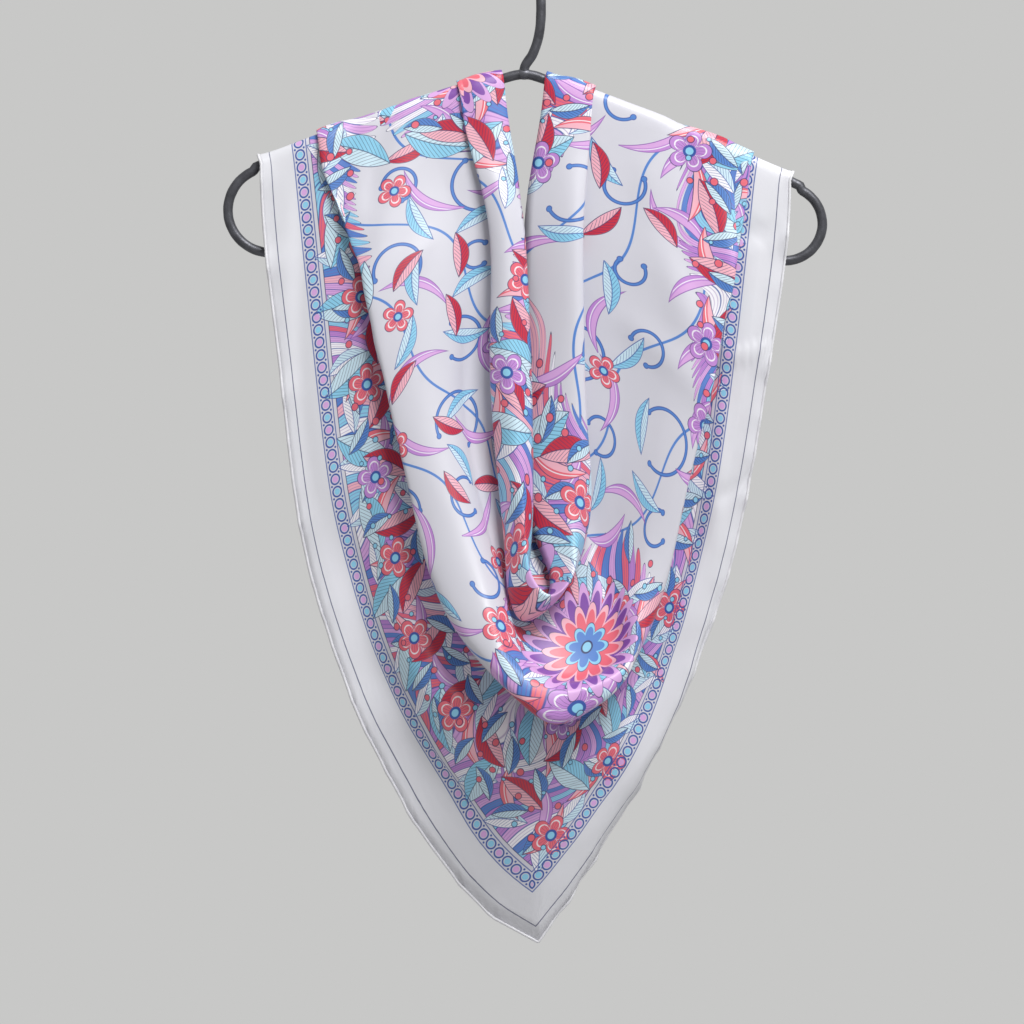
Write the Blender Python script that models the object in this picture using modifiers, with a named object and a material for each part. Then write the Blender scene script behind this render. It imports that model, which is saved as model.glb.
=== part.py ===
"""A 90 cm silk square scarf hung in a cowl over a forged iron wire hanger, modelled as one rigid part.

The square is folded on its diagonal. The fold makes the neckline, one corner points down at the front, a
second layer hangs behind it, and the two side corners fall behind the shoulders. Every layer is a loft: each
row of the tables below is one fold of the cloth, a curve that leaves the left arm of the hanger, sags, and
climbs to the right arm. Across the folds the section is a chain of straight runs with rounded corners.

World axes: +X to the right and -Y to the front, +Z up. The origin is the top of the inside of the hook.
Tables and sizes are in millimetres.
"""

import math
from collections import namedtuple

import bmesh
import bpy

MM = 0.001

# Hanger: a round wire, forged to a chevron of two arms with an open loop at each shoulder.
WIRE_R = 3.5
HOOK_R = 17.0
HOOK_DROP = 12.0
HOOK_STEPS = 10
TIP_SHARES = (0.5, 0.8, 0.93, 1.0)
TIP_RADII = (1.0, 0.97, 0.8, 0.45)
JUNCTION = (5.0, -81.3)
JUNCTION_FLAT = 3.0
LOOP_CENTRE = {-1: (-175.7, -177.9), 1: (191.1, -187.5)}
LOOP_R = {-1: 30.3, 1: 26.4}
ARM_SLOPE = {-1: math.radians(20.0), 1: math.radians(23.0)}
ARM_BOW = 2.5
ARM_STEPS = 11
ARM_CROWD = 1.4
LOOP_STEPS = 14
BAR_GAP = 0.9
STEM = (
    (5.5, -77.4), (5.5, -75.8), (8.0, -71.5), (11.2, -66.5), (15.2, -55.0), (17.0, -40.5), (17.0, -26.0),
)

# Cloth.
WALL = 1.0
JOIN_GAP = 0.3
CREST_GAP = 0.6
NEAR = 1e-6

# How much of the shorter run beside it a rounded corner may take: a pressed fold's or a soft bend's.
LAP_REACH = 0.3
SOFT_REACH = 0.45

# Share of the way from a fold's base to the arm over which its pressed thickness changes from base to side.
LAP_BASE = 0.4

# Share of a fold's drop at which each column of the tables stands, and the same place along the curve.
DROPS = (0.0, 0.25, 0.55, 0.85, 0.96, 1.0)
PLACES = (0.0, 0.24, 0.51, 0.79, 0.915, 1.0)
BASE = len(DROPS) - 1

# name     what the fold is
# base     height of the fold's lowest point
# layer    distance from the wire's axis where the cloth goes over the arm
# laps     thickness of a pressed fold at the arm, down the side and at the base, or None for a soft bend
# soft     length of the rounding on each side of a soft bend
# corner   1 where the curve turns a sharp corner at its base, 0 where it is round
# across   X at the left arm, left high, middle, low and turn, the base, then the right ones the other way
# depth    Y at the same places, without the two arms
Fold = namedtuple("Fold", "name base layer laps soft corner across depth")

FRONT_FOLDS = (
    Fold("neckline", -457, 6.9, None, 0, 0,
         (-9, 4, 10, 11, 9, 17, 24, 8, 3, 6, 19),
         (-14, -24, -43, -54, -54, -49, -34, -12, -9.5)),
    Fold("rim of the roll", -449, 9.9, None, 9, 0,
         (-24, -8, -4, 5, 11, 28, 44, 43, 40, 39, 36),
         (-24, -38, -57, -66, -70, -62, -48, -32, -23)),
    Fold("outer edge of the roll", -471, 8.65, (1.7, 4, 7), 0, 0,
         (-41, -20, -19, -9, -5, 5, 28, 48, 48, 47, 53),
         (-16, -25, -40, -51, -54, -49, -34, -23, -16)),
    Fold("tuck behind the roll", -381, 6.95, (1.7, 3, 8), 0, 0,
         (-31, -14, -13, -9, 0, 15, 31, 38, 38, 38, 43),
         (-9, -9.5, -11, -14, -15, -14, -11, -9.5, -9)),
    Fold("floor of the cup", -518, 6.1, None, 20, 0,
         (-55, -34, -35, -5, 11, 38, 63, 61, 59, 61, 68),
         (-9, -12, -36, -46, -48, -42, -26, -11, -9)),
    Fold("lip of the cup", -510, 7.4, None, 16, 0,
         (-76, -46, -41, -10, 5, 36, 75, 80, 88, 95, 102),
         (-15, -28, -58, -74, -78, -64, -42, -19, -13)),
    Fold("crown of the cup", -527, 9.2, None, 24, 0,
         (-108, -75, -61, -28, -6, 32, 76, 88, 108, 125, 138),
         (-23, -42, -68, -84, -88, -74, -50, -31, -22)),
    Fold("outer pleat", -543, 8.65, (1.7, 5, 26), 0, 0,
         (-140, -108, -81, -40, 3, 28, 61, 90, 123, 151, 166),
         (-22, -35, -56, -70, -74, -60, -42, -30, -21)),
    Fold("tuck behind the pleat", -512, 6.95, (1.7, 3, 9), 0, 0,
         (-128, -94, -69, -39, -1, 31, 61, 78, 108, 135, 153),
         (-9.5, -12, -20, -24, -25, -22, -16, -11, -9.5)),
    Fold("apron under the cup", -554, 6.1, None, 20, 0,
         (-135, -108, -82, -51, -5, 27, 63, 88, 130, 155, 165),
         (-9, -13, -27, -38, -42, -34, -22, -11, -9)),
    Fold("first soft swag", -586, 6.1, None, 16, 0.2,
         (-142, -122, -94, -61, -21, 20, 59, 93, 139, 163, 172),
         (-11, -19, -36, -48, -52, -42, -28, -14, -11)),
    Fold("dip between swags", -602, 6.1, None, 12, 0.3,
         (-155, -137, -108, -71, -29, 19, 65, 98, 146, 170, 179),
         (-10, -15, -27, -36, -40, -32, -22, -12, -10)),
    Fold("second soft swag", -621, 6.1, None, 16, 0.5,
         (-168, -153, -128, -82, -34, 17, 68, 108, 152, 175, 186),
         (-10, -15, -25, -34, -38, -30, -20, -12, -10)),
    Fold("hem", -698, 6.1, None, 0, 1,
         (-182, -169, -143, -71, -21, 15, 29, 68, 144, 178, 194),
         (-9, -11, -14, -14, -14, -13, -12, -10, -9)),
)

BACK_FOLDS = (
    Fold("back neckline", -366, 4.6, None, 0, 0,
         (-14, -8, -6, -4, 4, 16, 26, 24, 20, 20, 26),
         (-5.4, -5, -5, -5, -4, -5, -5, -5, -5.4)),
    Fold("upper back", -455, 4.6, None, 24, 0,
         (-76, -62, -55, -32, -4, 28, 58, 68, 80, 88, 95),
         (-5.4, -4, -4, -6, -9, -6, -4, -4, -5.4)),
    Fold("middle back", -540, 4.6, None, 24, 0,
         (-118, -98, -82, -50, -14, 28, 66, 86, 112, 128, 140),
         (-5.4, -4, -7, -12, -16, -12, -7, -4, -5.4)),
    Fold("lower back", -618, 4.6, None, 24, 0.5,
         (-152, -138, -116, -72, -30, 20, 70, 94, 138, 160, 172),
         (-5.4, -5, -9, -16, -20, -16, -9, -5, -5.4)),
    Fold("back hem", -686, 4.6, None, 0, 1,
         (-178, -165, -139, -68, -20, 15, 27, 64, 140, 174, 190),
         (-5.4, -6, -8, -8, -8, -8, -7, -6, -5.4)),
)

# The two side corners of the square hang open behind the shoulders: the tip of each, the share of the way to
# it that is cloth, how deep and how many its ripples are, and where on the way they rise, fade and settle.
TAIL_TIP = {-1: (-58.0, -352.0), 1: (66.0, -366.0)}
TAIL_END = 0.93
TAIL_RIPPLE = 5.0
TAIL_RIPPLES = 2.5
RIPPLE_RISE = 0.4
RIPPLE_FADE = 0.5
SETTLE_FROM = 0.3
SETTLE_OVER = 0.5
OUTER_BEHIND = 7.6
INNER_BEHIND = 5.4
FLAP_ROWS = 15
FLAP_SOFT = 4.0

# Sampling of the lofts.
ARC_STEPS = 3
LEG_STEPS = 18
LEG_CROWD = 0.85
TAIL_STEPS = (0.1, 0.25, 0.42, 0.6, 0.78, TAIL_END)

# Colour, roughness and metallic of the two materials.
SILK = ((0.62, 0.60, 0.66), 0.38, 0.0)
IRON = ((0.035, 0.036, 0.04), 0.55, 0.6)


def smooth(value):
    """0 to 1 with level ends."""
    value = min(max(value, 0.0), 1.0)
    return value * value * (3.0 - 2.0 * value)


def mix(a, b, share):
    """The point or number that lies a share of the way from a to b."""
    if isinstance(a, tuple):
        return tuple(p + (q - p) * share for p, q in zip(a, b))
    return a + (b - a) * share


def shoulder(side):
    """The end of an arm, where its line runs into the round loop."""
    (x, z), slope = LOOP_CENTRE[side], ARM_SLOPE[side]
    return x + side * LOOP_R[side] * math.sin(slope), z + LOOP_R[side] * math.cos(slope)


def arm_height(x):
    """Height of the wire's axis along the two arms, a chevron with a slight upward bow."""
    side = -1 if x < JUNCTION[0] else 1
    end_x, end_z = shoulder(side)
    span = abs(end_x - JUNCTION[0])
    run = math.hypot(max(abs(x - JUNCTION[0]) - JUNCTION_FLAT, 0.0), JUNCTION_FLAT) - JUNCTION_FLAT
    share = min(run / span, 1.0)
    return mix(JUNCTION[1], end_z, run / span) + ARM_BOW * 4.0 * share * (1.0 - share)


# ---------------------------------------------------------------- cloth

def fold_stations(fold):
    """The points of a fold's curve, from the left arm to the right arm."""
    depth = (-fold.layer,) + tuple(fold.depth) + (-fold.layer,)
    points = []
    for i, (x, y) in enumerate(zip(fold.across, depth)):
        arm_x = fold.across[0] if i <= BASE else fold.across[-1]
        drop = DROPS[BASE - abs(i - BASE)]
        points.append((float(x), float(y), mix(arm_height(arm_x), float(fold.base), drop)))
    return points


def fold_places():
    """Where the stations stand along the curve, from -1 at the left arm to 1 at the right arm."""
    left = [place - 1.0 for place in PLACES]
    return left + [-place for place in reversed(left[:-1])]


def slopes(fold, points, places):
    """Tangents at the stations, as (arriving, leaving) pairs."""
    result = []
    last = len(points) - 1
    for i in range(last + 1):
        if i in (0, last):
            near = 1 if i == 0 else last - 1
            rate = (points[near][2] - points[i][2]) / (places[near] - places[i])
            result.append(((0.0, 0.0, rate),) * 2)
            continue
        before = tuple((q - p) / (places[i] - places[i - 1]) for p, q in zip(points[i - 1], points[i]))
        after = tuple((q - p) / (places[i + 1] - places[i]) for p, q in zip(points[i], points[i + 1]))
        share = (places[i] - places[i - 1]) / (places[i + 1] - places[i - 1])
        even = mix(before, after, share)
        sharp = fold.corner if i == BASE else 0.0
        result.append((mix(even, before, sharp), mix(even, after, sharp)))
    return result


def leg_point(fold, place):
    """A point of a fold's curve between the arms."""
    points = fold_stations(fold)
    places = fold_places()
    tangents = slopes(fold, points, places)
    i = max(k for k in range(len(places) - 1) if places[k] <= place + NEAR)
    step = places[i + 1] - places[i]
    t = (place - places[i]) / step
    h00 = (1 + 2 * t) * (1 - t) ** 2
    h10 = t * (1 - t) ** 2 * step
    h01 = t * t * (3 - 2 * t)
    h11 = t * t * (t - 1) * step
    parts = zip(points[i], tangents[i][1], points[i + 1], tangents[i + 1][0])
    return tuple(h00 * a + h10 * m + h01 * b + h11 * n for a, m, b, n in parts)


def lap_at(fold, place):
    """Thickness of a pressed fold at a place along its curve."""
    arm, side, base = fold.laps
    upper = mix(arm, side, smooth((1.0 - abs(place)) / PLACES[1]))
    return mix(base, upper, smooth(abs(place) / LAP_BASE))


def split_lap(fold, point, out, lap):
    """The one point of a soft bend, or the outer and inner point of a pressed fold."""
    if not fold.laps:
        return [point]
    return [tuple(p + o * lap / 2 * sign for p, o in zip(point, out)) for sign in (1, -1)]


def leg_column(folds, place):
    """Corners of the section across every fold at one place between the arms."""
    column = []
    for fold in folds:
        lap = lap_at(fold, place) if fold.laps else 0.0
        column += split_lap(fold, leg_point(fold, place), (0.0, -1.0, 0.0), lap)
    return column


def arc_column(folds, side, angle):
    """Corners of the section where the cloth rolls over an arm, 0 at the front and 90 degrees on top."""
    slope = ARM_SLOPE[side]
    out = (side * math.sin(angle) * math.sin(slope), -math.cos(angle), math.sin(angle) * math.cos(slope))
    column = []
    for fold in folds:
        x = float(fold.across[0 if side < 0 else -1])
        point = tuple(p + o * fold.layer for p, o in zip((x, 0.0, arm_height(x)), out))
        column += split_lap(fold, point, out, fold.laps[0] if fold.laps else 0.0)
    return column


def flap_rows(folds, side, layer):
    """Plain rows in place of the folds, evenly spread along the arm, for a flap that hangs open."""
    end = 0 if side < 0 else -1
    first, last = float(folds[0].across[end]), float(folds[-1].across[end])
    rows = []
    for k in range(FLAP_ROWS + 1):
        x = mix(first, last, k / FLAP_ROWS)
        rows.append(Fold("row", 0, layer, None, FLAP_SOFT, 0, (x, x), ()))
    return rows


def tail_column(rows, side, share, behind, ripple):
    """The section across a side corner of the square, a share of the way down to its tip."""
    tip_x, tip_z = TAIL_TIP[side]
    sway = smooth(share / RIPPLE_RISE) * smooth((1.0 - share) / RIPPLE_FADE)
    settled = smooth((share - SETTLE_FROM) / SETTLE_OVER)
    column = []
    for k, row in enumerate(rows):
        wave = 0.5 - 0.5 * math.cos(2 * math.pi * TAIL_RIPPLES * k / FLAP_ROWS)
        x, y = row.across[0], mix(row.layer, behind, settled) + ripple * wave * sway
        column.append(mix((x, y, arm_height(x)), (tip_x, y, tip_z), share))
    return column


def round_corners(column, folds, samples):
    """Rounds the section's corners: so many points on a soft bend, two on each side of a pressed fold."""
    corners = []
    for fold in folds:
        corners += [(fold.laps[1], LAP_REACH, 2)] * 2 if fold.laps else [(fold.soft, SOFT_REACH, samples)]
    section = [column[0]]
    for i in range(1, len(column) - 1):
        soft, most, count = corners[i]
        before = math.dist(column[i], column[i - 1])
        after = math.dist(column[i], column[i + 1])
        reach = min(soft, most * before, most * after)
        start = mix(column[i], column[i - 1], reach / before)
        end = mix(column[i], column[i + 1], reach / after)
        middle = mix(mix(start, end, 0.5), column[i], 0.5)
        section += {1: [middle], 2: [start, end], 3: [start, middle, end]}[count]
    section.append(column[-1])
    return section


def loft(name, columns, material):
    """An open surface through the columns, given its thickness by Solidify."""
    mesh = bpy.data.meshes.new(name)
    build = bmesh.new()
    grid = [[build.verts.new([c * MM for c in point]) for point in column] for column in columns]
    for left, right in zip(grid, grid[1:]):
        for a, b, c, d in zip(left, right, right[1:], left[1:]):
            short = (a.co - c.co).length < (b.co - d.co).length
            for corners in ((a, b, c), (a, c, d)) if short else ((a, b, d), (b, c, d)):
                build.faces.new(corners).smooth = True
    bmesh.ops.recalc_face_normals(build, faces=build.faces)
    build.to_mesh(mesh)
    build.free()
    sheet = bpy.data.objects.new(name, mesh)
    thick = sheet.modifiers.new("wall", "SOLIDIFY")
    thick.thickness = WALL * MM
    thick.offset = 0.0
    sheet.data.materials.append(material)
    return sheet


def leg_places():
    """Places of the columns between the arms, closer together at the base of the folds."""
    half = [1.0 - (k / LEG_STEPS) ** LEG_CROWD for k in range(LEG_STEPS + 1)]
    return [-place for place in half] + [place for place in reversed(half[:-1])]


def drape(name, folds, samples, material):
    """One layer of the cowl, from the top of the left arm to the top of the right arm."""
    top = math.pi / 2 - CREST_GAP / 2 / folds[-1].layer
    columns = [arc_column(folds, -1, top * (1 - k / ARC_STEPS)) for k in range(ARC_STEPS)]
    columns += [leg_column(folds, place) for place in leg_places()]
    columns += [arc_column(folds, 1, top * (k + 1) / ARC_STEPS) for k in range(ARC_STEPS)]
    return loft(name, [round_corners(column, folds, samples) for column in columns], material)


def tail(name, folds, side, behind, ripple, material):
    """One layer of a side corner of the square, from the top of an arm down behind the shoulder."""
    rows = flap_rows(folds, side, folds[-1].layer)
    top = math.pi / 2 + CREST_GAP / 2 / rows[0].layer
    columns = [arc_column(rows, side, mix(top, math.pi, k / ARC_STEPS)) for k in range(ARC_STEPS + 1)]
    columns += [tail_column(rows, side, share, behind, ripple) for share in TAIL_STEPS]
    return loft(name, [round_corners(column, rows, 1) for column in columns], material)


# ---------------------------------------------------------------- hanger

def wire(name, route, material, tip_radii=()):
    """A forged wire through (x, z) points, with filled ends; tip_radii thins its last points."""
    curve = bpy.data.curves.new(name, "CURVE")
    curve.dimensions = "3D"
    curve.bevel_depth = WIRE_R * MM
    curve.bevel_resolution = 2
    curve.use_fill_caps = True
    spline = curve.splines.new("POLY")
    spline.points.add(len(route) - 1)
    for point, (x, z) in zip(spline.points, route):
        point.co = (x * MM, 0.0, z * MM, 1.0)
    for point, radius in zip(reversed(list(spline.points)), reversed(tip_radii)):
        point.radius = radius
    curve.materials.append(material)
    return bpy.data.objects.new(name, curve)


def hook_route():
    """The stem and the round hook, ending in a short drop with a blunt tip."""
    centre_z = WIRE_R - HOOK_R
    angles = [math.pi * k / HOOK_STEPS for k in range(HOOK_STEPS + 1)]
    arc = [(HOOK_R * math.cos(a), centre_z + HOOK_R * math.sin(a)) for a in angles]
    drop = [(-HOOK_R, centre_z - HOOK_DROP * share) for share in TIP_SHARES]
    return list(STEM) + arc + drop


def arm_route(side):
    """One arm of the chevron, from the junction to the shoulder."""
    start = JUNCTION[0] + side * JOIN_GAP / 2
    end = shoulder(side)[0]
    first = start + side * (JUNCTION_FLAT - JOIN_GAP)
    along = [mix(first, end, (k / ARM_STEPS) ** ARM_CROWD) for k in range(ARM_STEPS + 1)]
    return [(start, JUNCTION[1])] + [(x, arm_height(x)) for x in along]


def loop_route(side):
    """The round loop beyond a shoulder, from the arm's line to the bottom bar's."""
    (x, z), radius = LOOP_CENTRE[side], LOOP_R[side]
    first = ARM_SLOPE[side] + JOIN_GAP / radius
    angles = [mix(first, math.pi, k / LOOP_STEPS) for k in range(LOOP_STEPS + 1)]
    return [(x + side * radius * math.sin(a), z + radius * math.cos(a)) for a in angles]


def bar_route():
    """The straight bottom bar between the feet of the two loops."""
    feet = []
    for side in (-1, 1):
        x, z = LOOP_CENTRE[side]
        feet.append((x - side * BAR_GAP, z - LOOP_R[side]))
    return feet


# ---------------------------------------------------------------- materials and the build

def finish(name, colour, roughness, metallic):
    """A Principled material of one colour."""
    material = bpy.data.materials.new(name)
    material.use_nodes = True
    shader = material.node_tree.nodes["Principled BSDF"]
    shader.inputs["Base Color"].default_value = (*colour, 1.0)
    shader.inputs["Roughness"].default_value = roughness
    shader.inputs["Metallic"].default_value = metallic
    return material


def main():
    for old in list(bpy.data.objects):
        bpy.data.objects.remove(old)
    silk = finish("silk twill", *SILK)
    iron = finish("forged iron", *IRON)
    pieces = [
        drape("drape_front", FRONT_FOLDS, 3, silk),
        drape("drape_back", BACK_FOLDS, 2, silk),
        wire("hanger_hook", hook_route(), iron, TIP_RADII),
        wire("hanger_bar", bar_route(), iron),
    ]
    for side, label in ((-1, "left"), (1, "right")):
        pieces += [
            tail(f"tail_{label}_outer", FRONT_FOLDS, side, OUTER_BEHIND, TAIL_RIPPLE, silk),
            tail(f"tail_{label}_inner", BACK_FOLDS, side, INNER_BEHIND, 0.0, silk),
            wire(f"hanger_arm_{label}", arm_route(side), iron),
            wire(f"hanger_loop_{label}", loop_route(side), iron),
        ]
    group = bpy.data.collections.new("silk square on wire hanger")
    bpy.context.scene.collection.children.link(group)
    for piece in pieces:
        group.objects.link(piece)


main()
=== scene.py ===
"""A printed silk square hung in a cowl over a forged wire hanger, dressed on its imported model.

The cloth is two sheets, the front and the back half of a square folded on its diagonal. Each is a grid: its
rows are the folds of the cloth from one arm of the hanger to the other, and its columns run across the
folds, over the arms and down the two side corners behind the shoulders. Every point also knows its place on
the flat square, and the print is drawn there. Tables and cloth sizes are in millimetres.
"""

import math
from collections import namedtuple

import bmesh
import bpy
import numpy as np
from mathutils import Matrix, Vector

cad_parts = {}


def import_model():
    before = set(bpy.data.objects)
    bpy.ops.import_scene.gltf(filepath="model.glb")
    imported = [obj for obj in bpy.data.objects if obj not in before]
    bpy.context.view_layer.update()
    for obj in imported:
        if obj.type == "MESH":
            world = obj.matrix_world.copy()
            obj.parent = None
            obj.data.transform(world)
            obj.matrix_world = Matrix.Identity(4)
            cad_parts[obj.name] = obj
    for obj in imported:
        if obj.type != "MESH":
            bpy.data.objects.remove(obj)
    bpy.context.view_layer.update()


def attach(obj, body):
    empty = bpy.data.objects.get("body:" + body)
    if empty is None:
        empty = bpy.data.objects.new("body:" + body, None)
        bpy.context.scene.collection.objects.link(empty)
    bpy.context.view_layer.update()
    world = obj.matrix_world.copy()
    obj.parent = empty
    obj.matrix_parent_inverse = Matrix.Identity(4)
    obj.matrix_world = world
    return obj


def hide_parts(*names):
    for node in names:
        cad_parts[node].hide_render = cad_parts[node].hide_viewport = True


MM = 0.001

# ---- the hanger's lines

WIRE_R = 3.5
HOOK_R = 17.0
HOOK_DROP = 12.0
JUNCTION = (5.0, -81.3)
JUNCTION_FLAT = 3.0
LOOP_CENTRE = {-1: (-175.7, -177.9), 1: (191.1, -187.5)}
LOOP_R = {-1: 30.3, 1: 26.4}
ARM_SLOPE = {-1: math.radians(20.0), 1: math.radians(23.0)}
ARM_BOW = 2.5
STEM = (
    (5.0, -80.5), (5.5, -75.8), (8.0, -71.5), (11.2, -66.5), (15.2, -55.0), (17.0, -40.5), (17.0, -26.0),
)

# ---- the folds of the cloth

DROPS = (0.0, 0.25, 0.55, 0.85, 0.96, 1.0)
PLACES = (0.0, 0.24, 0.51, 0.79, 0.915, 1.0)
BASE = len(DROPS) - 1
LAP_BASE = 0.4

# name     what the fold is
# base     height of the fold's lowest point
# layer    distance from the wire's axis where the cloth goes over the arm
# laps     thickness of a pressed fold at the arm, down the side and at the base, or None for a soft bend
# soft     length of the rounding on each side of a soft bend
# corner   1 where the curve turns a sharp corner at its base, 0 where it is round
# across   X at the left arm, left high, middle, low and turn, the base, then the right ones the other way
# depth    Y at the same places, without the two arms
Fold = namedtuple("Fold", "name base layer laps soft corner across depth")
FRONT_FOLDS = (
    Fold("neckline", -457, 6.9, None, 0, 0,
         (-9, 4, 10, 11, 9, 17, 24, 8, 3, 6, 19),
         (-14, -24, -43, -54, -54, -49, -34, -12, -9.5)),
    Fold("rim of the roll", -449, 9.9, None, 9, 0,
         (-24, -8, -4, 5, 11, 28, 44, 43, 40, 39, 36),
         (-24, -38, -57, -66, -70, -62, -48, -32, -23)),
    Fold("outer edge of the roll", -471, 8.65, (1.7, 4, 7), 0, 0,
         (-41, -20, -19, -9, -5, 5, 28, 48, 48, 47, 53),
         (-16, -25, -40, -51, -54, -49, -34, -23, -16)),
    Fold("tuck behind the roll", -381, 6.95, (1.7, 3, 8), 0, 0,
         (-31, -14, -13, -9, 0, 15, 31, 38, 38, 38, 43),
         (-9, -9.5, -11, -14, -15, -14, -11, -9.5, -9)),
    Fold("floor of the cup", -518, 6.1, None, 20, 0,
         (-55, -34, -35, -5, 11, 38, 63, 61, 59, 61, 68),
         (-9, -12, -36, -46, -48, -42, -26, -11, -9)),
    Fold("lip of the cup", -510, 7.4, None, 16, 0,
         (-76, -46, -41, -10, 5, 36, 75, 80, 88, 95, 102),
         (-15, -28, -58, -74, -78, -64, -42, -19, -13)),
    Fold("crown of the cup", -527, 9.2, None, 24, 0,
         (-108, -75, -61, -28, -6, 32, 76, 88, 108, 125, 138),
         (-23, -42, -68, -84, -88, -74, -50, -31, -22)),
    Fold("outer pleat", -543, 8.65, (1.7, 5, 26), 0, 0,
         (-140, -108, -81, -40, 3, 28, 61, 90, 123, 151, 166),
         (-22, -35, -56, -70, -74, -60, -42, -30, -21)),
    Fold("tuck behind the pleat", -512, 6.95, (1.7, 3, 9), 0, 0,
         (-128, -94, -69, -39, -1, 31, 61, 78, 108, 135, 153),
         (-9.5, -12, -20, -24, -25, -22, -16, -11, -9.5)),
    Fold("apron under the cup", -554, 6.1, None, 20, 0,
         (-135, -108, -82, -51, -5, 27, 63, 88, 130, 155, 165),
         (-9, -13, -27, -38, -42, -34, -22, -11, -9)),
    Fold("first soft swag", -586, 6.1, None, 16, 0.2,
         (-142, -122, -94, -61, -21, 20, 59, 93, 139, 163, 172),
         (-11, -19, -36, -48, -52, -42, -28, -14, -11)),
    Fold("dip between swags", -602, 6.1, None, 12, 0.3,
         (-155, -137, -108, -71, -29, 19, 65, 98, 146, 170, 179),
         (-10, -15, -27, -36, -40, -32, -22, -12, -10)),
    Fold("second soft swag", -621, 6.1, None, 16, 0.5,
         (-168, -153, -128, -82, -34, 17, 68, 108, 152, 175, 186),
         (-10, -15, -25, -34, -38, -30, -20, -12, -10)),
    Fold("hem", -698, 6.1, None, 0, 1,
         (-182, -169, -143, -71, -21, 15, 29, 68, 144, 178, 194),
         (-9, -11, -14, -14, -14, -13, -12, -10, -9)),
)

BACK_FOLDS = (
    Fold("back neckline", -366, 4.6, None, 0, 0,
         (-14, -8, -6, -4, 4, 16, 26, 24, 20, 20, 26),
         (-5.4, -5, -5, -5, -4, -5, -5, -5, -5.4)),
    Fold("upper back", -455, 4.6, None, 24, 0,
         (-76, -62, -55, -32, -4, 28, 58, 68, 80, 88, 95),
         (-5.4, -4, -4, -6, -9, -6, -4, -4, -5.4)),
    Fold("middle back", -540, 4.6, None, 24, 0,
         (-118, -98, -82, -50, -14, 28, 66, 86, 112, 128, 140),
         (-5.4, -4, -7, -12, -16, -12, -7, -4, -5.4)),
    Fold("lower back", -618, 4.6, None, 24, 0.5,
         (-152, -138, -116, -72, -30, 20, 70, 94, 138, 160, 172),
         (-5.4, -5, -9, -16, -20, -16, -9, -5, -5.4)),
    Fold("back hem", -686, 4.6, None, 0, 1,
         (-178, -165, -139, -68, -20, 15, 27, 64, 140, 174, 190),
         (-5.4, -6, -8, -8, -8, -8, -7, -6, -5.4)),
)

# The side corners of the square behind the shoulders, each layer's distance behind the wire there, and
# where on the way down the pleats open, the ripples rise and fade, and the layer settles.
TAIL_TIP = {-1: (-58.0, -352.0), 1: (66.0, -366.0)}
TAIL_END = 0.955
TAIL_RIPPLE = 5.0
TAIL_RIPPLES = 2.5
RIPPLE_RISE = 0.4
RIPPLE_FADE = 0.5
SETTLE_FROM = 0.3
SETTLE_OVER = 0.5
PLEATS_OPEN = 0.45
BEHIND = {"front": 7.6, "back": 5.4}

# The square on the flat: half its diagonal, the neck and shoulder points where its half crosses an arm.
HALF_DIAGONAL = 636.4
NECK_U = 370.0
SHOULDER = (424.0, -212.0)
ROW_BOW = 0.9
WHOLE_SHARE = 0.8

# Sampling of the sheets.
LEG_STEPS = 76
LEG_CROWD = 0.9
ARC_STEPS = 8
TAIL_STEPS = 30
BEND_POINTS = 5
RUN_POINTS = {"front": 4, "back": 8}
LAP_REACH = 0.45
SOFT_REACH = 0.47
THICKNESS = 0.4
SETTLE_PASSES = 14
LEAST_SIDE = 0.1
NEAR = 1e-6
TINY = 1e-9


def smooth(value):
    """0 to 1 with level ends."""
    value = min(max(value, 0.0), 1.0)
    return value * value * (3.0 - 2.0 * value)


def mix(a, b, share):
    """The number or array that lies a share of the way from a to b."""
    return a + (b - a) * share


def shoulder(side):
    """The end of an arm, where its line runs into the round loop."""
    (x, z), slope = LOOP_CENTRE[side], ARM_SLOPE[side]
    return x + side * LOOP_R[side] * math.sin(slope), z + LOOP_R[side] * math.cos(slope)


def arm_height(x):
    """Height of the wire's axis along the two arms, a chevron with a slight upward bow."""
    side = -1 if x < JUNCTION[0] else 1
    end_x, end_z = shoulder(side)
    span = abs(end_x - JUNCTION[0])
    run = math.hypot(max(abs(x - JUNCTION[0]) - JUNCTION_FLAT, 0.0), JUNCTION_FLAT) - JUNCTION_FLAT
    share = min(run / span, 1.0)
    return mix(JUNCTION[1], end_z, run / span) + ARM_BOW * 4.0 * share * (1.0 - share)


def arm_x(fold, side):
    """X where a fold crosses an arm."""
    return float(fold.across[0 if side < 0 else -1])


def lengths(points):
    """The distance along a polyline to each of its points."""
    steps = np.linalg.norm(np.diff(points, axis=0), axis=1)
    return np.concatenate(([0.0], np.cumsum(steps)))


def arm_runs(folds, side):
    """X of every fold on an arm, and its share of the way across all the pleats there."""
    xs = [arm_x(fold, side) for fold in folds]
    runs = lengths(np.array(xs)[:, None])
    return xs, runs / runs[-1]


# ---- one fold's curve

def fold_stations(fold):
    """The points of a fold's curve, from the left arm to the right arm."""
    depth = (-fold.layer,) + tuple(fold.depth) + (-fold.layer,)
    points = []
    for i, (x, y) in enumerate(zip(fold.across, depth)):
        arm_x = fold.across[0] if i <= BASE else fold.across[-1]
        points.append((x, y, mix(arm_height(arm_x), fold.base, DROPS[BASE - abs(i - BASE)])))
    return np.array(points, dtype=float)


def fold_places():
    """Where the stations stand along the curve, from -1 at the left arm to 1 at the right arm."""
    left = [place - 1.0 for place in PLACES]
    return left + [-place for place in reversed(left[:-1])]


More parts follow.
